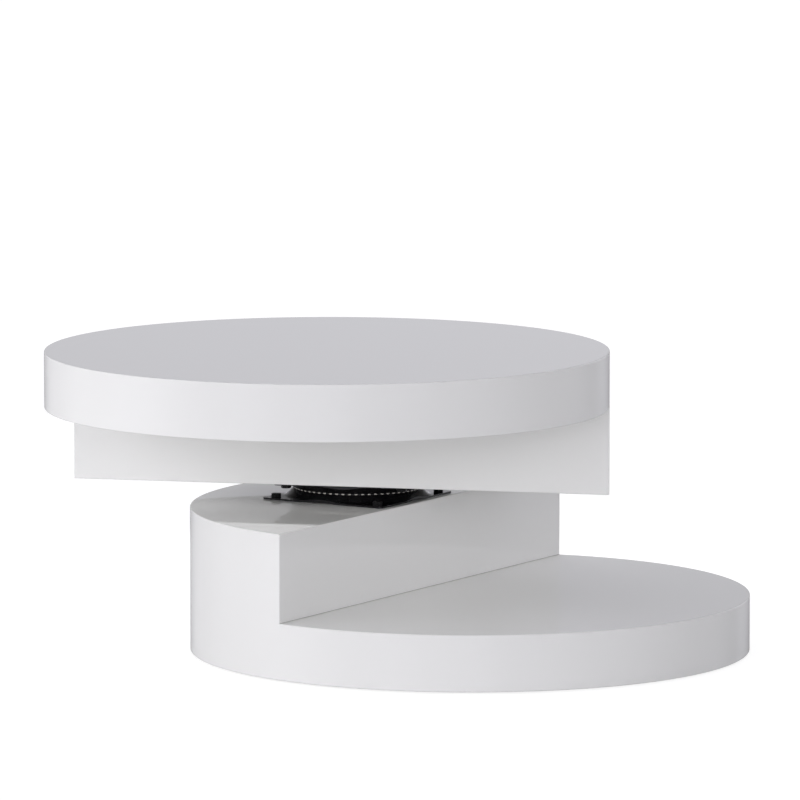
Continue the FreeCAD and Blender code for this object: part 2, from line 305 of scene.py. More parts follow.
def tier_boards(screwed):
    """The lacquered boards of a tier by their part in it; the outer one may be screwed on."""
    whole = circle(TABLE_RADIUS)
    inside_rim = circle(RIM_INNER_RADIUS)
    boards = {}
    boards["outer"] = board("outer", whole, BOTTOM_LEVEL, RIB_LOW, low_round=EDGE_ROUND,
                            holes=bottom_screw_bores() if screwed else ())
    boards["rim"] = board("rim", whole, RIB_LOW, RIB_HIGH,
                          holes=[[(inside_rim, RIB_LOW), (inside_rim, RIB_HIGH)]])
    turn = corner_turn(FACE_X)
    open_half = arc((0, 0), TABLE_RADIUS, -turn, turn)
    closed_half = arc((0, 0), TABLE_RADIUS, turn, math.tau - turn)
    eased = [EDGE_ROUND] * len(open_half) + [0.0] * len(closed_half)
    boards["shelf"] = board("shelf", open_half + closed_half, RIB_HIGH, SHELF_LEVEL, high_round=eased)
    front, front_turn = front_with_round_corners()
    strip_turn = corner_turn(FACE_BACK_X)
    ends = arc((0, 0), TABLE_RADIUS, front_turn, strip_turn)
    back = [((FACE_BACK_X, ends[-1][0][1]), (-1.0, 0.0)), ((FACE_BACK_X, -ends[-1][0][1]), (-1.0, 0.0))]
    other = [((x, -y), (nx, -ny)) for (x, y), (nx, ny) in reversed(ends)]
    foot_round = [EDGE_ROUND] * len(front) + [0.0] * (len(ends) + len(back) + len(other))
    boards["face"] = board("face", front + ends + back + other, SHELF_LEVEL, BLOCK_PANEL_LEVEL,
                           low_round=foot_round)
    inner_turn = corner_turn(FACE_BACK_X, RIM_INNER_RADIUS)
    outside = arc((0, 0), TABLE_RADIUS, strip_turn, math.tau - strip_turn)
    inside = [(point, (-normal[0], -normal[1]))
              for point, normal in arc((0, 0), RIM_INNER_RADIUS, math.tau - inner_turn, inner_turn)]
    ends_of_wall = []
    for first, second in ((outside[-1][0], inside[0][0]), (inside[-1][0], outside[0][0])):
        ends_of_wall.append([(first, (1.0, 0.0)), (second, (1.0, 0.0))])
    boards["wall"] = board("wall", outside + ends_of_wall[0] + inside + ends_of_wall[1],
                           SHELF_LEVEL, BLOCK_PANEL_LEVEL)
    round_back = arc((0, 0), TABLE_RADIUS, front_turn, math.tau - front_turn)
    boards["carrier"] = board("carrier", front + round_back, BLOCK_PANEL_LEVEL, BLOCK_LEVEL,
                              high_round=EDGE_ROUND, holes=insert_bores())
    return boards


def insert_bores():
    """Four holes for the threaded inserts."""
    return [bore((PIVOT.x + x, y), ((INSERT_BORE, BLOCK_PANEL_LEVEL), (INSERT_BORE, BLOCK_LEVEL)))
            for x, y in BOLT_CORNERS]


def screw_places():
    """The bottom panel's screws, along the ribs above it."""
    along = [(x, side * RIB_OFFSET) for side in (-1, 1) for x in (-2 * RIB_OFFSET, 0.0, 2 * RIB_OFFSET)]
    return along + [(y, x) for x, y in along]


def bottom_screw_bores():
    """Countersunk holes in the bottom panel."""
    mouth, hole = SCREW_HEAD_RADIUS + SCREW_HEAD_PLAY, SCREW_RADIUS + SCREW_PLAY
    return [bore(place, ((mouth, BOTTOM_LEVEL), (mouth, BOTTOM_LEVEL + HEAD_SINK),
                         (hole, BOTTOM_LEVEL + COUNTERSINK_DEPTH), (hole, RIB_LOW)))
            for place in screw_places()]


def turn_over(piece):
    """Moves a piece's mesh from the lower tier to its place, upside down, in the upper tier."""
    data = piece.data
    cos_turn, sin_turn = math.cos(DISPLAY_TURN), math.sin(DISPLAY_TURN)
    normals = [None] * len(data.loops)
    for i, corner in enumerate(data.corner_normals):
        n = corner.vector
        y, z = -n.y, -n.z
        normals[i] = (n.x * cos_turn - y * sin_turn, n.x * sin_turn + y * cos_turn, z)
    for vertex in data.vertices:
        x, y, z = vertex.co.x - PIVOT.x, -vertex.co.y, 2 * PIVOT.z - vertex.co.z
        vertex.co = (PIVOT.x + x * cos_turn - y * sin_turn, x * sin_turn + y * cos_turn, z)
    data.normals_split_custom_set(normals)


# ---------------------------------------------------------------------------------------------
# Turned, pressed and repeated pieces
# ---------------------------------------------------------------------------------------------

def profile(corners):
    """Points of a closed (radius, level) profile, given as (radius, level, fillet) corners."""
    points = []
    for i, (radius, level, fillet) in enumerate(corners):
        here = Vector((radius, level))
        if not fillet:
            points.append((radius, level))
            continue
        before = (Vector(corners[i - 1][:2]) - here).normalized()
        after = (Vector(corners[(i + 1) % len(corners)][:2]) - here).normalized()
        half = before.angle(after) / 2
        middle = here + (before + after).normalized() * (fillet / math.sin(half))
        start = here + before * (fillet / math.tan(half)) - middle
        end = here + after * (fillet / math.tan(half)) - middle
        first = math.atan2(start.y, start.x)
        sweep = (math.atan2(end.y, end.x) - first + math.pi) % math.tau - math.pi
        steps = max(3, math.ceil(abs(sweep) / FILLET_STEP))
        for turn in np.linspace(first, first + sweep, steps + 1):
            points.append((middle.x + fillet * math.cos(turn), middle.y + fillet * math.sin(turn)))
    return points


def turned(name, points, steps=64):
    """A solid of revolution round Z from an anticlockwise (radius, level) profile."""
    mesh = Mesh()
    spokes = [normal for _, normal in circle(1.0, steps=steps)]
    for i, (radius, level) in enumerate(points):
        other, other_level = points[(i + 1) % len(points)]
        for spoke, following in zip(spokes, spokes[1:] + spokes[:1]):
            mesh.face([((radius * spoke[0], radius * spoke[1], level), None),
                       ((radius * following[0], radius * following[1], level), None),
                       ((other * following[0], other * following[1], other_level), None),
                       ((other * spoke[0], other * spoke[1], other_level), None)])
    return mesh.build(name)


def settle(piece):
    """Turns a piece's modifiers into plain mesh."""
    data = bpy.data.meshes.new_from_object(piece.evaluated_get(bpy.context.evaluated_depsgraph_get()))
    piece.modifiers.clear()
    piece.data = data
    if "custom_normal" in data.attributes:
        data.attributes.remove(data.attributes["custom_normal"])
    data.polygons.foreach_set("use_smooth", [True] * len(data.polygons))
    data.set_sharp_from_angle(angle=CREASE)
    return piece


def combine(piece, tool, operation="DIFFERENCE"):
    """Cuts a piece with another, joins them or keeps what they share, and drops the other."""
    change = piece.modifiers.new("combine", "BOOLEAN")
    change.operation = operation
    change.solver = "EXACT"
    change.object = tool
    settle(piece)
    bpy.data.objects.remove(tool)
    return piece


def moved(piece, offset):
    """Moves a piece's mesh."""
    for vertex in piece.data.vertices:
        vertex.co += Vector(offset)
    return piece


def copied(piece):
    """A second piece of the same shape."""
    other = bpy.data.objects.new(piece.name, piece.data.copy())
    bpy.context.scene.collection.objects.link(other)
    return other


class Value:
    """A number that varies over a surface: a node's output, with arithmetic."""

    def __init__(self, tree, socket):
        self.tree = tree
        self.socket = socket

    def _math(self, operation, *values):
        node = self.tree.nodes.new("ShaderNodeMath")
        node.operation = operation
        for slot, value in zip(node.inputs, values):
            if isinstance(value, Value):
                self.tree.links.new(value.socket, slot)
            else:
                slot.default_value = value
        return Value(self.tree, node.outputs[0])

    def __add__(self, other):
        return self._math("ADD", self, other)

    def __radd__(self, other):
        return self._math("ADD", other, self)

    def __sub__(self, other):
        return self._math("SUBTRACT", self, other)

    def __rsub__(self, other):
        return self._math("SUBTRACT", other, self)

    def __mul__(self, other):
        return self._math("MULTIPLY", self, other)

    def __truediv__(self, other):
        return self._math("DIVIDE", self, other)

    def exp(self):
        return self._math("EXPONENT", self)

    def at_most(self, limit, softness):
        """The smaller of the two, with no kink where they meet."""
        return self._math("SMOOTH_MIN", self, limit, softness)

    def less_than(self, limit):
        """1 where it is below the limit and 0 elsewhere."""
        return self._math("LESS_THAN", self, limit)


class Tree:
    """A node tree under construction."""

    def __init__(self, tree):
        self.tree = tree

    def node(self, kind, settings=None, **inputs):
        """Adds a node, sets its settings, then gives its sockets values or links."""
        made = self.tree.nodes.new(kind)
        for name, value in (settings or {}).items():
            setattr(made, name, value)
        for name, value in inputs.items():
            self.put(made.inputs[name.replace("_", " ")], value)
        return made

    def put(self, socket, value):
        """Links a socket to a value that varies, or sets it."""
        if isinstance(value, Value):
            self.tree.links.new(value.socket, socket)
        elif isinstance(value, bpy.types.NodeSocket):
            self.tree.links.new(value, socket)
        else:
            socket.default_value = value

    def blend(self, factor, first, second):
        """Mixes two shaders."""
        made = self.node("ShaderNodeMixShader", None, Fac=factor)
        self.put(made.inputs[1], first)
        self.put(made.inputs[2], second)
        return made.outputs[0]


class Recipe(Tree):
    """A Geometry Nodes tree with named inputs."""

    def __init__(self, name, **inputs):
        super().__init__(bpy.data.node_groups.new(name, "GeometryNodeTree"))
        sockets = self.tree.interface
        sockets.new_socket("Geometry", in_out="INPUT", socket_type="NodeSocketGeometry")
        sockets.new_socket("Geometry", in_out="OUTPUT", socket_type="NodeSocketGeometry")
        self.identifiers = {}
        for label, kind in inputs.items():
            socket = sockets.new_socket(label, in_out="INPUT", socket_type="NodeSocket" + kind)
            self.identifiers[label] = socket.identifier
        self.given = self.node("NodeGroupInput").outputs

    def finish(self, geometry):
        """Ends the tree with real geometry in the chosen finish."""
        real = self.node("GeometryNodeRealizeInstances", None, Geometry=geometry)
        smooth = self.node("GeometryNodeSetShadeSmooth", None, Geometry=real.outputs[0])
        painted = self.node("GeometryNodeSetMaterial", None, Geometry=smooth.outputs[0],
                            Material=self.given["finish"])
        self.node("NodeGroupOutput", None, Geometry=painted.outputs[0])
        return self

    def make(self, name, start=None, **values):
        """Runs the recipe on a piece, or on nothing, and returns plain mesh."""
        piece = start or bpy.data.objects.new(name, bpy.data.meshes.new(name))
        piece.name = name
        if not start:
            bpy.context.scene.collection.objects.link(piece)
        change = piece.modifiers.new("recipe", "NODES")
        change.node_group = self.tree
        for label, value in values.items():
            change[self.identifiers[label]] = value
        return settle(piece)


def points(name, places):
    """A mesh of bare points for a recipe to set pieces on."""
    data = bpy.data.meshes.new(name)
    data.from_pydata(places, [], [])
    piece = bpy.data.objects.new(name, data)
    bpy.context.scene.collection.objects.link(piece)
    return piece


def fastener_row():
    """Sets a copy of one piece on each point, each turned by chance."""
    recipe = Recipe("fastener_row", item="Object", largest_turn="Float", seed="Int", finish="Material")
    item = recipe.node("GeometryNodeObjectInfo", None, Object=recipe.given["item"])
    chance = recipe.node("FunctionNodeRandomValue", {"data_type": "FLOAT"})
    recipe.put(chance.inputs[3], recipe.given["largest_turn"])
    recipe.put(chance.inputs["Seed"], recipe.given["seed"])
    turn = recipe.node("ShaderNodeCombineXYZ", None, Z=chance.outputs[1])
    copies = recipe.node("GeometryNodeInstanceOnPoints", None, Points=recipe.given["Geometry"],
                         Instance=item.outputs["Geometry"], Rotation=turn.outputs[0])
    return recipe.finish(copies.outputs[0])


def screw_thread():
    """Winds a ridge round a shank that hangs below Z = 0, from one depth to another."""
    recipe = Recipe("screw_thread", crest_radius="Float", ridge="Float", pitch="Float", depth="Float",
                    length="Float", finish="Material")
    given = {label: Value(recipe.tree, recipe.given[label])
             for label in recipe.identifiers if label != "finish"}
    middle = given["crest_radius"] - given["ridge"]
    turns = given["length"] / given["pitch"]
    coil = recipe.node("GeometryNodeCurveSpiral", None, Resolution=20, Rotations=turns, Start_Radius=middle,
                       End_Radius=middle, Height=given["length"])
    section = recipe.node("GeometryNodeCurvePrimitiveCircle", None, Resolution=3, Radius=given["ridge"])
    ridge = recipe.node("GeometryNodeCurveToMesh", None, Curve=coil.outputs[0],
                        Profile_Curve=section.outputs[0], Fill_Caps=True)
    drop = recipe.node("ShaderNodeCombineXYZ", None, Z=0.0 - given["depth"] - given["length"])
    placed = recipe.node("GeometryNodeTransform", None, Geometry=ridge.outputs[0],
                         Translation=drop.outputs[0])
    both = recipe.node("GeometryNodeJoinGeometry")
    recipe.put(both.inputs[0], placed.outputs[0])
    recipe.put(both.inputs[0], recipe.given["Geometry"])
    return recipe.finish(both.outputs[0])


def ball_row():
    """Balls evenly round the swivel axis."""
    recipe = Recipe("ball_row", balls="Int", row_radius="Float", ball_diameter="Float", middle="Vector",
                    finish="Material")
    radius = Value(recipe.tree, recipe.given["ball_diameter"]) / 2.0
    ring = recipe.node("GeometryNodeMeshCircle", None, Vertices=recipe.given["balls"],
                       Radius=recipe.given["row_radius"])
    ball = recipe.node("GeometryNodeMeshUVSphere", None, Segments=28, Rings=14, Radius=radius)
    copies = recipe.node("GeometryNodeInstanceOnPoints", None, Points=ring.outputs[0],
                         Instance=ball.outputs[0])
    placed = recipe.node("GeometryNodeTransform", None, Geometry=copies.outputs[0],
                         Translation=recipe.given["middle"])
    return recipe.finish(placed.outputs[0])


# The swivel bearing's sizes, its levels counted from the top of the lower block
PLATE_SIDE = 0.200
PLATE_THICKNESS = 0.0025
PLATE_CORNER = 0.006
CREST_LEVEL = 0.0124
CREST_RADIUS = 0.0934
BALL_RADIUS = 0.004
BALL_ROW_RADIUS = 0.088
BALL_COUNT = 60
MIDDLE_LEVEL = 0.014
GROOVE_RADIUS = 0.0043
DISH_BLEND = 0.009
LIP_EASING = 0.0008
BLANK_RADIUS = 0.160
CAGE_INNER_RADIUS = 0.080
CAGE_OUTER_RADIUS = 0.0914
CAGE_THICKNESS = 0.0018
POCKET_RADIUS = 0.0042
PIN_HOLE = 0.0061
PIN_HOLE_EASING = 0.0005
BOLT_HOLE = 0.0045
THRUST_LEVELS = (CREST_LEVEL, 0.0155)
THRUST_RADIUS = 0.030
RETAINER_LEVELS = (0.0182, 0.0197)
RETAINER_RADIUS = 0.017


def pressed_plate():
    """Square plate pressed up into a dish, with a ball race in its lip, seat at Z = 0."""
    t = PLATE_THICKNESS
    run = CREST_RADIUS + CREST_LEVEL

    def on_race(radius, start, end, steps):
        """Points of the profile round a ball, angles in degrees."""
        return [(BALL_ROW_RADIUS + radius * math.cos(turn), MIDDLE_LEVEL + radius * math.sin(turn), 0.0)
                for turn in np.linspace(math.radians(start), math.radians(end), steps)]

    roof = CREST_LEVEL - t
    wall = GROOVE_RADIUS + t
    inner_run = run - t * math.sqrt(2)
    groove_edge = math.degrees(math.asin((CREST_LEVEL - MIDDLE_LEVEL) / GROOVE_RADIUS))
    roof_edge = math.degrees(math.asin((roof - MIDDLE_LEVEL) / wall))
    past_row = inner_run - BALL_ROW_RADIUS - MIDDLE_LEVEL
    flank_edge = math.degrees(math.asin(past_row / wall / math.sqrt(2))) - 45
    lower = [(PIN_HOLE, roof, 0.0), *on_race(wall, -180 - roof_edge, flank_edge, 16),
             (inner_run, 0.0, DISH_BLEND + t), (BLANK_RADIUS, 0.0, 0.0)]
    upper = [(BLANK_RADIUS, t, 0.0), (run - t, t, DISH_BLEND), (CREST_RADIUS, CREST_LEVEL, LIP_EASING),
             *on_race(GROOVE_RADIUS, groove_edge, -180 - groove_edge, 16),
             (PIN_HOLE, CREST_LEVEL, PIN_HOLE_EASING)]
    plate = turned("pressed_plate", profile(lower + upper), steps=288)
    half = PLATE_SIDE / 2 - PLATE_CORNER
    outline = []
    for quarter, (x, y) in enumerate(((half, half), (-half, half), (-half, -half), (half, -half))):
        outline += arc((x, y), PLATE_CORNER, quarter * math.pi / 2, (quarter + 1) * math.pi / 2, 12)
    low, high = -0.001, 0.020
    drilled = [bore(corner, ((BOLT_HOLE, low), (BOLT_HOLE, high))) for corner in BOLT_CORNERS]
    return combine(plate, board("plate_blank", outline, low, high, holes=drilled), "INTERSECT")


def hexagon_bolt():
    """A chamfered hexagon bolt, seat at Z = 0 and its plain shank below."""
    easing = 0.0004
    reach = BOLT_FLATS / math.sqrt(3) - easing / math.cos(math.pi / 6)
    corners = []
    for turn in (math.tau * corner / 6 for corner in range(6)):
        corners += arc((reach * math.cos(turn), reach * math.sin(turn)), easing, turn - math.pi / 6,
                       turn + math.pi / 6, 5)
    below, above, chamfer, crown_round = 0.0005, 0.0007, 0.0009, 0.0003
    head = board("bolt_head", corners, 0.0, BOLT_HEAD + above)
    foot, widest, crest = 0.00575, BOLT_FLATS * 0.6, 0.0064
    crown = turned("crown", profile([(0.0, -below, 0.0), (foot, -below, 0.0), (widest, above, 0.0),
                                     (widest, BOLT_HEAD - chamfer, 0.0), (crest, BOLT_HEAD, crown_round),
                                     (0.0, BOLT_HEAD, 0.0)]))
    combine(head, crown, "INTERSECT")
    tip, tip_cone, shoulder, overlap = 0.0028, 0.0008, 0.001, 0.001
    root = BOLT_RADIUS - BOLT_THREAD - 0.00015
    shank = turned("shank", profile([(0.0, -BOLT_LENGTH, 0.0), (tip, -BOLT_LENGTH, 0.0),
                                     (root, -BOLT_LENGTH + tip_cone, 0.0),
                                     (root, -BOLT_PLAIN - shoulder, 0.0), (BOLT_RADIUS, -BOLT_PLAIN, 0.0),
                                     (BOLT_RADIUS, overlap, 0.0), (0.0, overlap, 0.0)]), steps=24)
    return combine(head, shank, "UNION")


def cross_screw(length):
    """A countersunk cross-recess screw, its head flush with Z = 0 and its shank below."""
    point, blunt, root, tip_cone, neck, shoulder = 0.0004, 0.0002, 0.0016, 0.005, 0.009, 0.001
    head, cone, land, edge = SCREW_HEAD_RADIUS, 0.0027, 0.0003, 0.0001
    body = turned("screw", profile([(0.0, -length, 0.0), (point, -length + blunt, 0.0),
                                    (root, -length + tip_cone, 0.0), (root, -neck, 0.0),
                                    (SCREW_RADIUS, -neck + shoulder, 0.0), (SCREW_RADIUS, -cone, 0.0),
                                    (head - edge, -land, 0.0), (head, -edge, 0.0),
                                    (head - 2 * edge, 0.0, 0.0), (0.0, 0.0, 0.0)]), steps=32)
    half_width, half_length, depth, taper, above = 0.00045, 0.0021, 0.0021, 0.35, 0.0005
    for turn in (0.0, math.pi / 2):
        along = Vector((math.cos(turn), math.sin(turn)))
        across = Vector((-along.y, along.x)) * half_width
        rings = []
        for level, reach in ((above, half_length), (-depth, half_length * taper)):
            ring = [along * reach * x + across * y for x, y in ((1, 1), (-1, 1), (-1, -1), (1, -1))]
            rings.append([((corner.x, corner.y, level), None) for corner in ring])
        slot = Mesh()
        top, bottom = rings
        slot.face(top)
        slot.face(bottom[::-1])
        for i in range(4):
            j = (i + 1) % 4
            slot.face([top[j], top[i], bottom[i], bottom[j]])
        combine(body, slot.build("slot"))
    return body


def threaded_insert():
    """A sleeve with a narrow collar, its face at Z = 0."""
    hollow, body, body_ease, body_cone = 0.0041, 0.0052, 0.0003, 0.0005
    collar, collar_top, collar_foot, ease, mouth = 0.0060, 0.0012, 0.0016, 0.0002, 0.0004
    return turned("insert", profile([(hollow, -INSERT_LENGTH, 0.0), (body - body_ease, -INSERT_LENGTH, 0.0),
                                     (body, -INSERT_LENGTH + body_cone, 0.0), (body, -collar_foot, 0.0),
                                     (collar, -collar_top, 0.0), (collar, -ease, 0.0),
                                     (collar - ease, 0.0, 0.0), (hollow + mouth, 0.0, 0.0),
                                     (hollow, -mouth, 0.0)]), steps=48)


def felt_pad():
    """A round pad with a softened foot, standing on Z = 0."""
    return turned("pad", profile([(0.0, 0.0, 0.0), (PAD_RADIUS, 0.0, PAD_EASING),
                                  (PAD_RADIUS, BOTTOM_LEVEL, 0.0), (0.0, BOTTOM_LEVEL, 0.0)]), steps=48)


def riveted_pin():
    """The kingpin with its domed heads, its levels counted from the top of the lower block."""
    pin, head, head_height, dome, edge = 0.006, 0.014, 0.004, 0.0016, 0.0003
    low, high = CREST_LEVEL - PLATE_THICKNESS, RETAINER_LEVELS[1]
    foot, crown = low - head_height, high + head_height
    return turned("pin", profile([(0.0, foot, 0.0), (head, foot, dome), (head, low, edge), (pin, low, 0.0),
                                  (pin, high, 0.0), (head, high, edge), (head, crown, dome),
                                  (0.0, crown, 0.0)]), steps=96)


def flat_washer(name, outer, levels):
    """A flat washer round the kingpin with broken edges."""
    (low, high), broken = levels, 0.0002
    return turned(name, profile([(PIN_HOLE, low, 0.0), (outer, low, broken), (outer, high, broken),
                                 (PIN_HOLE, high, 0.0)]), steps=96)


def ball_cage():
    """Flat ring with a pocket for each ball, the pockets open at the rim."""
    outer, pocket = CAGE_OUTER_RADIUS, POCKET_RADIUS
    half_mouth = math.acos((BALL_ROW_RADIUS ** 2 + outer ** 2 - pocket ** 2) / 2 / BALL_ROW_RADIUS / outer)
    mouth = math.asin(outer * math.sin(half_mouth) / pocket)
    step = math.tau / BALL_COUNT
    outline = []
    for ball in range(BALL_COUNT):
        turn = ball * step
        centre = (BALL_ROW_RADIUS * math.cos(turn), BALL_ROW_RADIUS * math.sin(turn))
        outline += [(point, (-normal[0], -normal[1])) for point, normal in
                    arc(centre, pocket, turn - mouth, turn - math.tau + mouth, 20)]
        outline += arc((0, 0), outer, turn + half_mouth, turn + step - half_mouth, 3)
    low, high = MIDDLE_LEVEL - CAGE_THICKNESS / 2, MIDDLE_LEVEL + CAGE_THICKNESS / 2
    hole = circle(CAGE_INNER_RADIUS, steps=240)
    return board("cage", outline, low, high, holes=[[(hole, low), (hole, high)]])


# ---------------------------------------------------------------------------------------------
# Shaders
# ---------------------------------------------------------------------------------------------

class Finish(Tree):
    """A procedural material under construction."""

    def __init__(self, name):
        self.material = bpy.data.materials.new(name)
        self.material.use_nodes = True
        super().__init__(self.material.node_tree)
        self.shader = self.tree.nodes["Principled BSDF"]
        self.output = self.tree.nodes["Material Output"]

    def set(self, **inputs):
        """Sets the shader's own sockets."""
        for name, value in inputs.items():
            self.put(self.shader.inputs[name.replace("_", " ")], value)

    def place(self):
        """Where a point is in the part's own space."""
        return self.node("ShaderNodeTexCoord").outputs["Object"]

    def noise(self, scale, detail=2.0, roughness=0.5):
        """Cloudy values from 0 to 1."""
        made = self.node("ShaderNodeTexNoise", None, Vector=self.place(), Scale=scale,
                         Detail=detail, Roughness=roughness)
        return Value(self.tree, made.outputs["Fac"])

    def mix(self, factor, first, second):
        """A colour between two."""
        made = self.node("ShaderNodeMix", {"data_type": "RGBA"})
        self.put(made.inputs["Factor"], factor)
        self.put(made.inputs[6], first)
        self.put(made.inputs[7], second)
        return made.outputs[2]

    def bump(self, height, distance, strength=1.0):
        """Normals of a fine relief."""
        made = self.node("ShaderNodeBump", None, Height=height, Distance=distance, Strength=strength)
        return made.outputs["Normal"]


# The two whites of the lacquer, which blend into each other
MILK_WHITE = (0.869, 0.868, 0.842, 1.0)
CHALK_WHITE = (0.863, 0.863, 0.838, 1.0)


def lacquer():
    """White polyester lacquer polished to a mirror, with the faintest orange peel."""
    finish = Finish("white_gloss_lacquer")
    cloud = finish.noise(2.5, detail=1.0)
    finish.set(Base_Color=finish.mix(cloud, MILK_WHITE, CHALK_WHITE))
    finish.set(Roughness=0.3, Coat_Weight=1.0, Coat_Roughness=0.015, Coat_IOR=1.5, Specular_IOR_Level=0.0)
    peel = finish.noise(180.0, detail=1.0)
    finish.set(Normal=finish.bump(peel, 0.00002, 0.25))
    return finish.material


def black_enamel(name):
    """Black stove enamel on pressed steel, glossy and a little uneven."""
    finish = Finish(name)
    patch = finish.noise(60.0, detail=3.0)
    finish.set(Base_Color=finish.mix(patch, (0.004, 0.004, 0.0045, 1), (0.009, 0.009, 0.0095, 1)))
    finish.set(Roughness=0.07 + patch * 0.08, Specular_IOR_Level=0.2)
    orange_peel = finish.noise(420.0, detail=2.0)
    finish.set(Normal=finish.bump(orange_peel, 0.00005, 0.3))
    return finish.material


def dark_bolt_steel():
    """Black oxide on bolts, a little worn on the crests of its grain."""
    finish = Finish("black_oxide")
    wear = finish.noise(400.0, detail=4.0)
    finish.set(Base_Color=finish.mix(wear, (0.004, 0.004, 0.0045, 1), (0.014, 0.014, 0.014, 1)))
    finish.set(Roughness=0.26 + wear * 0.16, Specular_IOR_Level=0.1)
    return finish.material


def bright_steel():
    """Polished bearing balls."""
    finish = Finish("polished_balls")
    haze = finish.noise(700.0, detail=2.0)
    finish.set(Base_Color=(0.3, 0.288, 0.26, 1), Metallic=1.0, Roughness=0.08 + haze * 0.08)
    return finish.material


def zinc_steel():
    """Zinc plate on screws and inserts."""
    finish = Finish("zinc_plate")
    spangle = finish.noise(300.0, detail=3.0)
    finish.set(Base_Color=finish.mix(spangle, (0.55, 0.55, 0.53, 1), (0.68, 0.68, 0.66, 1)))
    finish.set(Metallic=1.0, Roughness=0.25 + spangle * 0.2)
    return finish.material


def bronze():
    """Turned bronze washer, with rings from the lathe."""
    finish = Finish("turned_bronze")
    rings = finish.node("ShaderNodeTexWave", {"wave_type": "RINGS", "rings_direction": "Z"},
                        Vector=finish.place(), Scale=900.0, Distortion=0.4)
    ring_value = Value(finish.tree, rings.outputs["Fac"])
    finish.set(Base_Color=finish.mix(ring_value, (0.52, 0.34, 0.16, 1), (0.6, 0.42, 0.22, 1)))
    finish.set(Metallic=1.0, Roughness=0.25 + ring_value * 0.15)
    return finish.material


def raw_board():
    """Sawn fibreboard: brown, matt and speckled."""
    finish = Finish("raw_fibreboard")
    fibre = finish.noise(900.0, detail=4.0)
    patch = finish.noise(20.0, detail=2.0)
    shade = fibre * 0.7 + patch * 0.3
    finish.set(Base_Color=finish.mix(shade, (0.36, 0.25, 0.15, 1), (0.55, 0.42, 0.28, 1)))
    finish.set(Roughness=0.8 + fibre * 0.15)
    finish.set(Normal=finish.bump(fibre, 0.0001, 0.6))
    return finish.material


def felt():
    """Pressed grey-white felt."""
    finish = Finish("pressed_felt")
    fibre = finish.noise(1500.0, detail=5.0, roughness=0.7)
    finish.set(Base_Color=finish.mix(fibre, (0.52, 0.5, 0.46, 1), (0.8, 0.79, 0.75, 1)))
    finish.set(Roughness=0.95)
    finish.set(Normal=finish.bump(fibre, 0.0004, 1.0))
    return finish.material


def dress(piece, material):
    """Gives a piece one finish."""
    piece.data.materials.clear()
    piece.data.materials.append(material)


# ---------------------------------------------------------------------------------------------
# Studio
# ---------------------------------------------------------------------------------------------

def place_camera():
    """A long lens, a little above the table and to one side."""
    data = bpy.data.cameras.new("camera")
    data.lens = CAMERA_LENS
    data.sensor_width = SENSOR_WIDTH
    data.clip_end = CAMERA_REACH
    camera = bpy.data.objects.new("camera", data)
    bpy.context.scene.collection.objects.link(camera)
    camera.location = CAMERA_PLACE
    camera.rotation_euler = (math.radians(90 - CAMERA_PITCH_DOWN), 0.0, math.radians(CAMERA_AZIMUTH))
    bpy.context.scene.camera = camera


# The studio's soft boxes stand on rings round the table. Each ring has an elevation and a narrowness.
LOW_RING = (2, 45)
MIDDLE_RING = (13, 40)
HIGH_RING = (24, 40)
CEILING = (90, 4)

# Each group has a ring, its first and last azimuth, + to the camera's right, and a strength
BOX_SPACING = 30
SOFT_BOXES = {
    "low_front": (LOW_RING, -30, 0, 2.75),
    "low_left": (LOW_RING, -90, -60, 0.75),
    "low_back": (LOW_RING, 180, 180, 0.75),
    "front": (MIDDLE_RING, 0, 30, 2.75),
    "front_left": (MIDDLE_RING, -30, -30, 1.75),
    "right": (MIDDLE_RING, 60, 60, 1.25),
    "back_left": (MIDDLE_RING, -150, -90, 1.25),
    "back_right": (MIDDLE_RING, 120, 150, 1.75),
    "high_left": (HIGH_RING, -75, -75, 4.5),
    "overhead": (CEILING, 0, 0, 0.7),
}

LIGHT_COLOUR = (1.0, 0.994, 1.055, 1)

# The most that a shiny board mirrors of them, and how gently it gets there
MIRRORED_LIGHT = 1.1
MIRRORED_SOFTNESS = 0.5

# Strip lamps that reach into the gap between the blocks: watts by azimuth from the camera
STRIP_LAMPS = {-60: 0.8, 180: 2.5}
STRIP_DISTANCE = 1.1
STRIP_LEVEL = 0.33
STRIP_SIZE = (0.5, 0.12)

# The floor, just under the pads; FLOOR_GLOW and FLOOR_SHADE are what the camera sees of it
FLOOR_HALF_SIDE = 30.0
FLOOR_LEVEL = -0.0002
FLOOR_COLOUR = (0.8, 0.8, 0.8, 1)
FLOOR_GLOW = 0.87
FLOOR_SHADE = (0.3, 0.3, 0.3, 1)


def from_camera(azimuth, elevation):
    """The direction at an azimuth from the camera's own and at an elevation, in degrees."""
    turn, rise = math.radians(CAMERA_AZIMUTH - 90 + azimuth), math.radians(elevation)
    return (math.cos(turn) * math.cos(rise), math.sin(turn) * math.cos(rise), math.sin(rise))


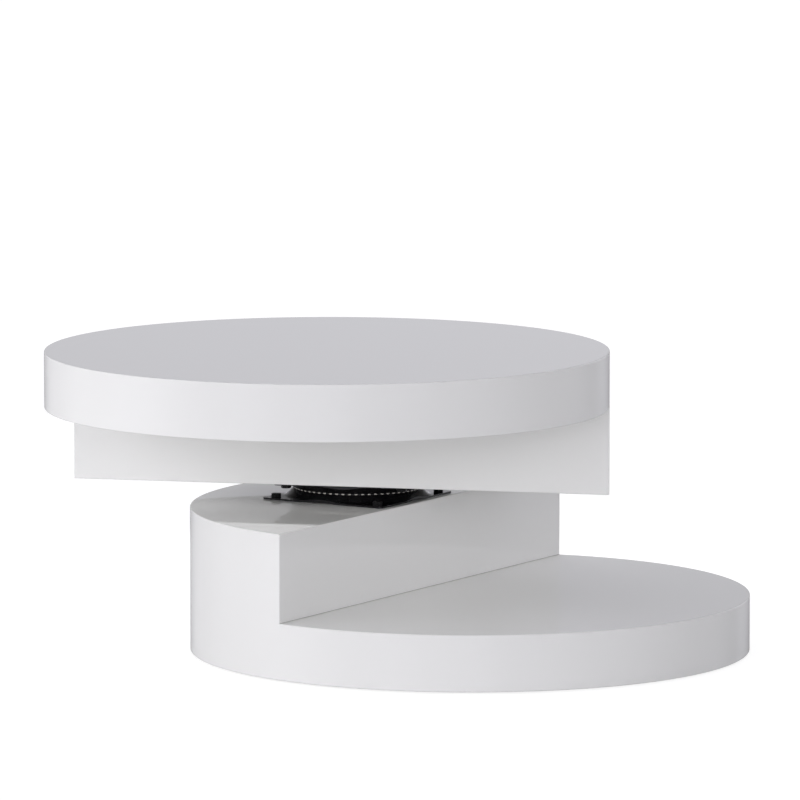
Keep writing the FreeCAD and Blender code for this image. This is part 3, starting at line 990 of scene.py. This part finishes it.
def studio_world():
    """White to the eye; large soft boxes round the table for light and reflections."""
    world = bpy.data.worlds.new("studio")
    bpy.context.scene.world = world
    world.use_nodes = True
    world.node_tree.nodes.clear()
    room = Tree(world.node_tree)
    way = room.node("ShaderNodeTexCoord").outputs["Generated"]
    light = None
    for (elevation, narrowness), start, end, strength in SOFT_BOXES.values():
        for azimuth in range(start, end + 1, BOX_SPACING):
            facing = room.node("ShaderNodeVectorMath", {"operation": "DOT_PRODUCT"})
            room.put(facing.inputs[0], way)
            room.put(facing.inputs[1], from_camera(azimuth, elevation))
            glow = ((Value(room.tree, facing.outputs["Value"]) - 1.0) * narrowness).exp() * strength
            light = glow if light is None else light + glow
    paths = room.node("ShaderNodeLightPath")
    glossy = Value(room.tree, paths.outputs["Is Glossy Ray"])
    first = Value(room.tree, paths.outputs["Glossy Depth"]).less_than(1.5)
    light = light - (light - light.at_most(MIRRORED_LIGHT, MIRRORED_SOFTNESS)) * glossy * first
    boxes = room.node("ShaderNodeBackground", None, Color=LIGHT_COLOUR, Strength=light)
    seen = room.node("ShaderNodeBackground", None, Color=(1, 1, 1, 1), Strength=1.0)
    shown = room.blend(paths.outputs["Is Camera Ray"], boxes.outputs[0], seen.outputs[0])
    room.node("ShaderNodeOutputWorld", None, Surface=shown)


def strip_lamps():
    """Low lamps aimed at the gap between the two blocks."""
    gap = Vector((PIVOT.x, PIVOT.y, BLOCK_LEVEL))
    for azimuth, watts in STRIP_LAMPS.items():
        data = bpy.data.lights.new("strip_lamp", "AREA")
        data.shape = "RECTANGLE"
        data.size, data.size_y = STRIP_SIZE
        data.energy = watts
        lamp = bpy.data.objects.new("strip_lamp", data)
        bpy.context.scene.collection.objects.link(lamp)
        away = Vector(from_camera(azimuth, 0.0)) * STRIP_DISTANCE
        lamp.location = (gap.x + away.x, gap.y + away.y, STRIP_LEVEL)
        lamp.rotation_euler = (lamp.location - gap).to_track_quat("Z", "Y").to_euler()
        lamp.visible_glossy = False
        lamp.visible_camera = False


def floor():
    """A pale floor that shows white, with the table's soft shadow."""
    mesh = Mesh()
    mesh.face([((x * FLOOR_HALF_SIDE, y * FLOOR_HALF_SIDE, FLOOR_LEVEL), (0, 0, 1))
               for x, y in ((-1, -1), (1, -1), (1, 1), (-1, 1))])
    ground = mesh.build("floor")
    finish = Finish("pale_floor")
    finish.set(Base_Color=FLOOR_COLOUR, Roughness=0.35)
    paths = finish.node("ShaderNodeLightPath")
    glow = finish.node("ShaderNodeEmission", None, Color=(1, 1, 1, 1), Strength=FLOOR_GLOW)
    matt = finish.node("ShaderNodeBsdfDiffuse", None, Color=FLOOR_SHADE)
    lit = finish.node("ShaderNodeAddShader")
    finish.put(lit.inputs[0], glow.outputs[0])
    finish.put(lit.inputs[1], matt.outputs[0])
    shown = finish.blend(paths.outputs["Is Camera Ray"], finish.shader.outputs[0], lit.outputs[0])
    finish.put(finish.output.inputs["Surface"], shown)
    dress(ground, finish.material)


# ---------------------------------------------------------------------------------------------
# Making it
# ---------------------------------------------------------------------------------------------

place_camera()
bpy.context.scene.view_settings.view_transform = "Standard"
studio_world()
strip_lamps()
floor()

FINISHES = {
    "lacquered_board": lacquer(),
    "raw_board": raw_board(),
    "black_steel": black_enamel("black_enamel"),
    "cage_steel": black_enamel("black_cage"),
    "bolt_steel": dark_bolt_steel(),
    "zinc_steel": zinc_steel(),
    "ball_steel": bright_steel(),
    "bronze": bronze(),
    "felt": felt(),
}
LOWER_NODES = {
    "outer": "base_bottom_panel", "rim": "base_rim", "shelf": "shelf_panel", "face": "riser_panel",
    "wall": "lower_block_wall", "carrier": "lower_block_top", "plate": "lower_bearing_plate",
    "bolts": "lower_plate_bolts", "inserts": "lower_inserts", "face_screws": "riser_screws",
}
UPPER_NODES = {
    "outer": "tabletop_panel", "rim": "top_rim", "shelf": "underside_panel", "face": "hanging_block_face",
    "wall": "upper_block_wall", "carrier": "upper_block_floor", "plate": "upper_bearing_plate",
    "bolts": "upper_plate_bolts", "inserts": "upper_inserts", "face_screws": "face_screws",
}


def carry(piece, body, slot, node):
    """Dresses a finished piece, and says what it rides on and which node it stands for."""
    piece.name = node + "_detail"
    dress(piece, FINISHES[slot])
    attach(piece, body)
    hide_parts(node)


def fastener(kind, start, slot, **thread):
    """A fastener with its thread wound on."""
    return screw_threads.make(kind, start, finish=FINISHES[slot], **thread)


def row(kind, item, places, seed, slot, largest_turn=0.0):
    """One piece made of copies of a fastener or a pad at the places given."""
    return fastener_rows.make(kind, points(kind + "_places", places), item=item, largest_turn=largest_turn,
                              seed=seed, finish=FINISHES[slot])


def driven_up(screws, level):
    """Turns screws that hang from Z = 0 head down, their heads sunk into a face at a level."""
    for vertex in screws.data.vertices:
        vertex.co.y = -vertex.co.y
        vertex.co.z = level + HEAD_SINK - vertex.co.z
    return screws


def face_screw_places():
    """Under the block's flat face, evenly spaced."""
    x = (FACE_X + FACE_BACK_X) / 2
    reach = face_half_width(FACE_X) - FACE_SCREW_MARGIN
    return [(x, y, 0.0) for y in np.linspace(-reach, reach, FACE_SCREW_COUNT)]


def pad_places():
    """One in the middle and the others on a circle."""
    around = circle(PAD_CIRCLE, steps=2 * PADS_ROUND)[1::2]
    return [(0.0, 0.0, 0.0)] + [(*place, 0.0) for place, _ in around]


screw_threads = screw_thread()
fastener_rows = fastener_row()
bolt = fastener("bolt", hexagon_bolt(), "bolt_steel", crest_radius=BOLT_RADIUS, ridge=BOLT_THREAD,
                pitch=BOLT_PITCH, depth=BOLT_THREAD_START, length=BOLT_THREAD_LENGTH)
short_screw, long_screw = [
    fastener(kind, cross_screw(length), "zinc_steel", crest_radius=SCREW_CREST_RADIUS, ridge=SCREW_THREAD,
             pitch=SCREW_PITCH, depth=thread_start, length=thread_length)
    for kind, (length, thread_start, thread_length) in WOOD_SCREWS.items()]
insert = threaded_insert()
pad = felt_pad()

on_block = (PIVOT.x, PIVOT.y, BLOCK_LEVEL)
seats = [(PIVOT.x + x, y, BLOCK_LEVEL) for x, y in BOLT_CORNERS]
under_heads = [(x, y, level + PLATE_THICKNESS) for x, y, level in seats]
plate = moved(pressed_plate(), on_block)
for body, nodes, bolt_seed, screw_seed in (("base", LOWER_NODES, 3, 5), ("top", UPPER_NODES, 8, 6)):
    upside_down = body == "top"
    boards = tier_boards(screwed=not upside_down)
    pieces = [(part, piece, "lacquered_board") for part, piece in boards.items()]
    bolts = row("bolts", bolt, under_heads, bolt_seed, "bolt_steel", math.pi / 3)
    inserts = row("inserts", insert, seats, 1, "zinc_steel")
    screws = row("face_screws", long_screw, face_screw_places(), screw_seed, "zinc_steel", math.pi)
    screws = driven_up(screws, RIB_HIGH)
    pieces += [("plate", copied(plate), "black_steel"), ("bolts", bolts, "bolt_steel"),
               ("inserts", inserts, "zinc_steel"), ("face_screws", screws, "zinc_steel")]
    for part, piece, slot in pieces:
        if upside_down:
            turn_over(piece)
        carry(piece, body, slot, nodes[part])

panel_screw_places = [(*place, 0.0) for place in screw_places()]
panel_screws = row("panel_screws", short_screw, panel_screw_places, 4, "zinc_steel", math.pi)
carry(driven_up(panel_screws, BOTTOM_LEVEL), "base", "zinc_steel", "bottom_screws")
carry(row("pads", pad, pad_places(), 2, "felt", math.tau), "base", "felt", "floor_pads")

carry(moved(riveted_pin(), on_block), "base", "bolt_steel", "kingpin")
carry(moved(flat_washer("thrust", THRUST_RADIUS, THRUST_LEVELS), on_block), "base", "bronze",
      "thrust_washer")
carry(moved(flat_washer("retainer", RETAINER_RADIUS, RETAINER_LEVELS), on_block), "base", "zinc_steel",
      "retaining_washer")
carry(moved(ball_cage(), on_block), "ball_ring", "cage_steel", "ball_cage")
balls = ball_row().make("balls", balls=BALL_COUNT, row_radius=BALL_ROW_RADIUS,
                        ball_diameter=2 * BALL_RADIUS, finish=FINISHES["ball_steel"],
                        middle=(PIVOT.x, PIVOT.y, BLOCK_LEVEL + MIDDLE_LEVEL))
carry(balls, "ball_ring", "ball_steel", "bearing_balls")
for item in (bolt, insert, short_screw, long_screw, pad, plate):
    bpy.data.objects.remove(item)

for subpart in frame["record"]["subparts"]:
    if subpart["material_slot"] == "raw_board":
        for slot in frame["nodes"][subpart["node"]].material_slots:
            slot.material = FINISHES["raw_board"]
